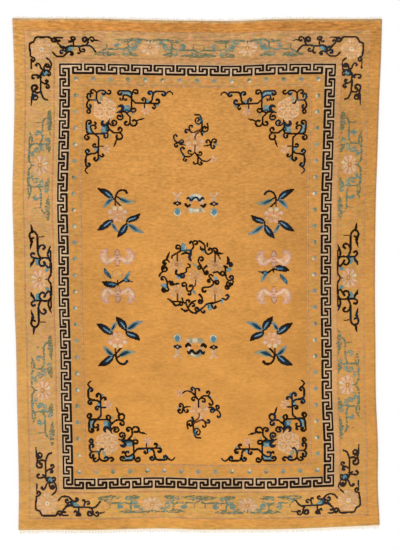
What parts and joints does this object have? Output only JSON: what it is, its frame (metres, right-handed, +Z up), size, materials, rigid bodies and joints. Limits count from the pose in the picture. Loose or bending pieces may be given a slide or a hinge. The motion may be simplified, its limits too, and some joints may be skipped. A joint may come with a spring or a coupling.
{
  "type": "chinese rug",
  "caption": "Large flat hand-knotted wool carpet with an uneven rectangular outline and short cotton fringes at both ends.",
  "frame": {"origin": "on the floor under the middle of the whole rug, fringes included", "axes": "+X across the rug, +Y along it towards the end that is uppermost in the picture, +Z up out of the pile"},
  "size_m": [2.69, 3.7704, 0.01],
  "materials": {
    "wool_pile": "clipped hand-knotted wool pile, matt, golden amber with navy, teal and pink figures",
    "cotton_warp": "undyed cotton warps and weft, matt cream"
  },
  "bodies": {
    "root": {"carpet": "wool_pile", "fringe_bottom": "cotton_warp", "fringe_top": "cotton_warp"}
  },
  "joints": []
}
